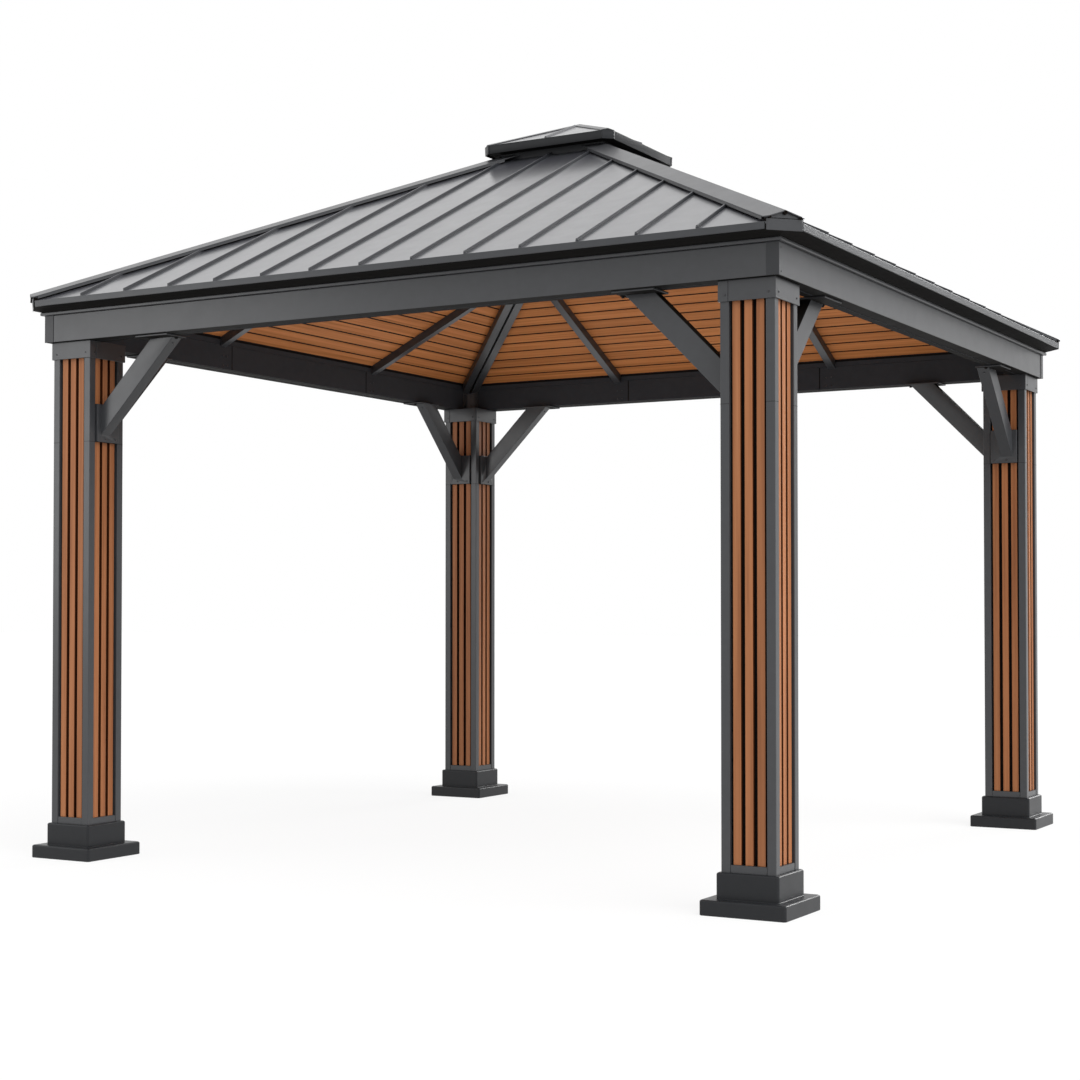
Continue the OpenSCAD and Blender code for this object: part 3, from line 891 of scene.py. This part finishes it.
def ceiling(turn):
    """Boards with grooves between them, over a dark backing that shows in the grooves."""
    board_count = 19
    board_t = 0.008
    groove = 0.010
    groove_depth = 0.0015
    backing_top = groove_depth + 0.004
    pitch = (BEAM_IN - CROWN_HALF) / board_count
    # The ceiling wood carries painted light, lighter than the slat wood.
    wood = CEILING_LIT_WOOD["xy"[turn % 2]]
    piece = Piece(SIDES[turn] + "_ceiling_boards", "wood_grain", [wood, GROOVE_SHADOW])
    backing = sloping_board(ceiling_at, CROWN_HALF, BEAM_IN, groove_depth, backing_top)
    for start, end in ceiling_runs(BEAM_IN):
        piece.add(mitre(side_bar(backing, start, end), HIP_GAP), turned(turn), GROOVE_SHADOW)
    for count in range(board_count):
        near = CROWN_HALF + count * pitch + groove / 2
        far = near + pitch - groove
        outline = sloping_board(ceiling_at, near, far, 0.0, board_t)
        for start, end in ceiling_runs(far - HIP_GAP):
            board = mitre(side_bar(outline, start, end), HIP_GAP)
            piece.add(soften(board, 0.0008), turned(turn))
    piece.finish(SIDES[turn] + "_ceiling")


# ---- Hip rafters ----

def across_diagonal(outline, near_v, far_v):
    """Solid over (distance along the front right diagonal, height) points, between two offsets."""
    along = Vector((1, -1, 0)) / math.sqrt(2)
    across = Vector((-1, -1, 0)) / math.sqrt(2)
    return loft([
        [along * u + across * v + Vector((0, 0, z)) for u, z in outline]
        for v in (near_v, far_v)
    ])


def hip_rafter_outline(lift=0.0):
    """Outline along the diagonal, from below the ceiling up to the roof, longer than needed."""
    near = CROWN_HALF * math.sqrt(2) - 0.08
    far = BEAM_IN * math.sqrt(2) + 0.05
    bottom = [(u, ceiling_at(u / math.sqrt(2)) - HIP_RAFTER_DROP + lift) for u in (far, near)]
    top = [(u, roof_top(u / math.sqrt(2) + HIP_GAP / 2) - PANEL_T) for u in (near, far)]
    return bottom + top


def cut_to_frame(bm, inward, into_crown):
    """Cuts a hip bar off inside the crown frame's face and at the beam's face, on one side."""
    cut(bm, -inward * (CROWN_HALF - into_crown), inward)
    cut(bm, -inward * BEAM_IN, -inward)


def hip_rafters():
    """Each hip rafter is two bars side by side with a dark joint between them."""
    half_joint = 0.005
    filler_half = 0.006
    filler_lift = 0.012
    from_front = Vector((0, 1, 0))
    from_right = Vector((-1, 0, 0))
    piece = Piece("hip_rafter_pairs", "frame_paint", [FRAME_PAINT, GROOVE_SHADOW])
    for turn in range(4):
        for sign, inward in ((-1, from_right), (1, from_front)):
            bar = across_diagonal(hip_rafter_outline(), sign * half_joint, sign * HIP_RAFTER_HALF)
            cut_to_frame(bar, inward, 0.004)
            piece.add(soften(bar, 0.0018), turned(turn))
        filler = across_diagonal(hip_rafter_outline(filler_lift), -filler_half, filler_half)
        cut_to_frame(filler, from_front, 0.008)
        cut_to_frame(filler, from_right, 0.008)
        piece.add(filler, turned(turn), GROOVE_SHADOW)
    piece.finish("hip_rafters")


# ---- Hip caps and the corners under them ----

HIP_CAP_LIFT = 0.015 / math.cos(ROOF_PITCH)
HIP_CAP_W = 0.075


def below_hip_cap(bm, gap):
    """Cuts a solid at the front right corner off below the underside of the hip cap."""
    rise = math.cos(ROOF_PITCH)
    run = math.sin(ROOF_PITCH)
    height = roof_top(EAVE_AT) + HIP_CAP_LIFT - gap
    cut(bm, (0, -EAVE_AT, height), (0, -run, rise))
    return cut(bm, (EAVE_AT, 0, height), (run, 0, rise))


def eave_corner_plates():
    """Flared plates with a level top, the small gables between them and the hip caps, and the
    dark joints between plate and gable."""
    plate_top = TRIM_TOP + 0.009
    gable_bottom = plate_top + 0.0025
    gable_top = plate_top + 0.05
    face = (2 * EAVE_AT - EAVE_CLIP) / math.sqrt(2)
    half = EAVE_CLIP / math.sqrt(2)
    gable = rectangle(face - 0.02, face + 0.003, gable_bottom, gable_top)
    shadow = rectangle(face - 0.018, face - 0.001, TRIM_TOP, gable_bottom + 0.001)
    plate = cut(cad_shape("eave_corner_caps"), (0, 0, plate_top), (0, 0, 1))
    piece = Piece("eave_corner_plates", "frame_paint", [FRAME_PAINT, GROOVE_SHADOW])
    piece.add(soften(plate, 0.0012))
    for turn in range(4):
        piece.add(below_hip_cap(across_diagonal(gable, -half, half), 0.0005), turned(turn))
        piece.add(below_hip_cap(across_diagonal(shadow, -half, half), 0.001), turned(turn), GROOVE_SHADOW)
    piece.finish("eave_corner_caps")


def along_hip(offset_low, offset_high, lift_low, end):
    """Upright strip under the front right hip cap, from the curb out, which reaches up to the cap.
    Offsets are square to the hip in plan, and lifts are heights over the roof sheet."""
    rings = []
    for along in (CURB_HALF, end):
        ring = []
        for offset, lift in rectangle(offset_low, offset_high, lift_low, HIP_CAP_LIFT):
            shift = offset / math.sqrt(2)
            out = along + shift
            ring.append((along - shift, -out, roof_top(out) + lift))
        rings.append(ring)
    return loft(rings)


def cap_tips():
    """Ridge tip and right wing tip at the outer end of the front right hip cap."""
    points = [vertex.co.copy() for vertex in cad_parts["hip_caps"].data.vertices]
    reach = max(point.x - point.y for point in points)
    ends = [point for point in points if point.x - point.y > reach - 0.001]
    ridge = max(ends, key=lambda point: point.z)
    wing = max(ends, key=lambda point: point.x + point.y)
    return ridge, wing


def fold_mouth(tip, inward, radius):
    """Painted shade in the mouth of a folded edge of the front right hip cap, just inside its tip.
    """
    depth = 0.008
    stands_out = 0.0016
    bm = screw_head(radius, depth)
    bmesh.ops.translate(bm, verts=bm.verts, vec=(0, 0, stands_out - depth))
    bm.transform(facing(tip + radius * Vector(inward), (1, -1, 0)))
    return bm


def hip_caps():
    """Bent caps along the hips, with painted shade in their folded ends, closure strips in painted
    shadow, and hems.
    """
    end_gap = 0.001
    strip_in = HIP_CAP_W - 0.018
    strip_out = strip_in + 0.003
    strip_end = PANEL_OUT - strip_out / math.sqrt(2) - end_gap
    hem_in = HIP_CAP_W - 0.002
    hem_end = PANEL_OUT - HIP_CAP_W / math.sqrt(2) - end_gap
    ridge, wing = cap_tips()
    piece = Piece("hip_ridge_caps", "roof_sheet", [HIP_PAINT, GROOVE_SHADOW, FRAME_PAINT])
    piece.add(soften(cad_shape("hip_caps"), 0.0010))
    for turn in range(4):
        piece.add(fold_mouth(ridge, (0, 0, -1), 0.0075), turned(turn), GROOVE_SHADOW)
        for flip in (AS_IT_IS, MIRRORED):
            place = turned(turn) @ flip
            piece.add(fold_mouth(wing, (-0.9, -0.5, 0), 0.0045), place, GROOVE_SHADOW)
            # The closure strips are near-black painted shadow under the cap's edges.
            piece.add(along_hip(strip_in, strip_out, -0.001, strip_end), place, GROOVE_SHADOW)
            piece.add(along_hip(hem_in, HIP_CAP_W, 0.007, hem_end), place, FRAME_PAINT)
    piece.finish("hip_caps")


# ---- Pieces that keep the CAD shape ----

def same_shape(node, name, material, width):
    """A piece with a CAD node's own shape, softened edges and a material."""
    slot = "roof_sheet" if material is ROOF_SHEET else "frame_paint"
    piece = Piece(name, slot, [material])
    piece.add(soften(cad_shape(node), width))
    piece.finish(node)


def plain_pieces():
    same_shape("rafters", "common_rafter_bars", FRAME_PAINT, 0.0018)
    same_shape("crown_frame", "crown_ring", FRAME_PAINT, 0.0020)
    # The cupola curb, soffit and trim are in near-black painted shade.
    same_shape("cupola_curb", "cupola_curb_walls", CUPOLA_SHADE_PAINT, 0.0010)
    same_shape("cupola_soffit", "cupola_soffit_sheet", UNDERSIDE_SHADE, 0.0010)
    same_shape("cupola_trim", "cupola_trim_band", CUPOLA_SHADE_PAINT, 0.0004)
    same_shape("cupola_roof", "cupola_roof_sheet", ROOF_SHEET, 0.0010)
    same_shape("cupola_hip_caps", "cupola_ridge_caps", HIP_PAINT, 0.0010)


# ---- Stage, lights and camera ----

def larger(nodes, links, first, second):
    node = nodes.new("ShaderNodeMath")
    node.operation = "MAXIMUM"
    links.new(first, node.inputs[0])
    links.new(second, node.inputs[1])
    return node.outputs[0]


def camera_ray_mix(nodes, links, first, second):
    """Shader mix that shows the second shader to camera, mirror and see-through rays."""
    path = nodes.new("ShaderNodeLightPath").outputs
    seen = larger(nodes, links, path["Is Camera Ray"], path["Is Glossy Ray"])
    seen = larger(nodes, links, seen, path["Is Transmission Ray"])
    mix = nodes.new("ShaderNodeMixShader")
    links.new(seen, mix.inputs[0])
    links.new(first, mix.inputs[1])
    links.new(second, mix.inputs[2])
    return mix.outputs[0]


def world_light(level):
    """White light from all round at a level, under a background that is seen as white."""
    world = bpy.data.worlds.new("studio")
    bpy.context.scene.world = world
    world.use_nodes = True
    nodes, links = world.node_tree.nodes, world.node_tree.links
    light = nodes["Background"]
    light.inputs["Color"].default_value = (1, 1, 1, 1)
    light.inputs["Strength"].default_value = level
    white = nodes.new("ShaderNodeBackground")
    white.inputs["Color"].default_value = (1, 1, 1, 1)
    white.inputs["Strength"].default_value = 1.0
    mixed = camera_ray_mix(nodes, links, light.outputs[0], white.outputs[0])
    links.new(mixed, nodes["World Output"].inputs["Surface"])


def floor_material():
    """Bounces light as mid grey. Seen or mirrored, it is near white with a faint shadow."""
    material, nodes, links, shader = new_material("studio_white")
    shader.inputs["Base Color"].default_value = (0.50, 0.50, 0.50, 1)
    shader.inputs["Roughness"].default_value = 1.0
    shader.inputs["Specular IOR Level"].default_value = 0.0
    chalk = nodes.new("ShaderNodeBsdfDiffuse")
    chalk.inputs["Color"].default_value = (0.80, 0.80, 0.80, 1)
    glow = nodes.new("ShaderNodeEmission")
    glow.inputs["Strength"].default_value = 1.0
    seen = nodes.new("ShaderNodeMixShader")
    seen.inputs[0].default_value = 0.85
    links.new(chalk.outputs[0], seen.inputs[1])
    links.new(glow.outputs[0], seen.inputs[2])
    mixed = camera_ray_mix(nodes, links, shader.outputs[0], seen.outputs[0])
    links.new(mixed, nodes["Material Output"].inputs["Surface"])
    return material


def pale_floor():
    """White floor that keeps a faint shadow of the gazebo."""
    mesh = bpy.data.meshes.new("studio_floor")
    reach = 60.0
    corners = [(-reach, -reach, 0), (reach, -reach, 0), (reach, reach, 0), (-reach, reach, 0)]
    mesh.from_pydata(corners, [], [(0, 1, 2, 3)])
    mesh.materials.append(floor_material())
    floor = bpy.data.objects.new("studio_floor", mesh)
    bpy.context.scene.collection.objects.link(floor)


def sun(name, direction, strength, angle, mirrored=True):
    """Soft lamp that shines from a direction, seen or not seen in glossy surfaces."""
    data = bpy.data.lights.new(name, "SUN")
    data.energy = strength
    data.angle = angle
    lamp = bpy.data.objects.new(name, data)
    lamp.rotation_euler = Vector(direction).to_track_quat("Z", "Y").to_euler()
    lamp.visible_glossy = mirrored
    bpy.context.scene.collection.objects.link(lamp)


def area_lamp(name, place, target, size, power):
    """Square soft box at a place, aimed at a target."""
    data = bpy.data.lights.new(name, "AREA")
    data.size = size
    data.energy = power
    lamp = bpy.data.objects.new(name, data)
    lamp.location = place
    aim = Vector(place) - Vector(target)
    lamp.rotation_euler = aim.to_track_quat("Z", "Y").to_euler()
    bpy.context.scene.collection.objects.link(lamp)


def photo_camera():
    """Camera at the photograph's viewing angle."""
    tilt = 0.0223
    heading = 0.518
    data = bpy.data.cameras.new("camera")
    data.sensor_width = 36.0
    data.lens = 63.6
    data.shift_y = 0.0259
    data.clip_end = 200.0
    camera = bpy.data.objects.new("camera", data)
    camera.location = (4.083, -7.525, 1.023)
    camera.rotation_euler = (math.pi / 2 + tilt, 0, heading)
    bpy.context.scene.collection.objects.link(camera)
    bpy.context.scene.camera = camera


# ---- Assembly ----

for corner_turn in range(4):
    plinth(corner_turn)
    post(corner_turn)
    slats(corner_turn)
collars()
for side_turn in range(4):
    beam(side_turn)
    eave(side_turn)
    roof_panel(side_turn)
    ceiling(side_turn)
    braces(side_turn)
beam_corners()
hip_rafters()
eave_corner_plates()
hip_caps()
plain_pieces()

world_light(level=0.80)
sun("key_light", (0.80, -0.22, 0.72), strength=3.0, angle=math.radians(60), mirrored=False)
sun("back_light", (0.14, 0.91, 0.39), strength=0.80, angle=math.radians(20))
area_lamp("left_fill", (-5.0, -6.0, 2.2), (-1.6, -1.6, 1.2), size=2.5, power=45)
pale_floor()
photo_camera()
bpy.context.scene.view_settings.view_transform = "Standard"
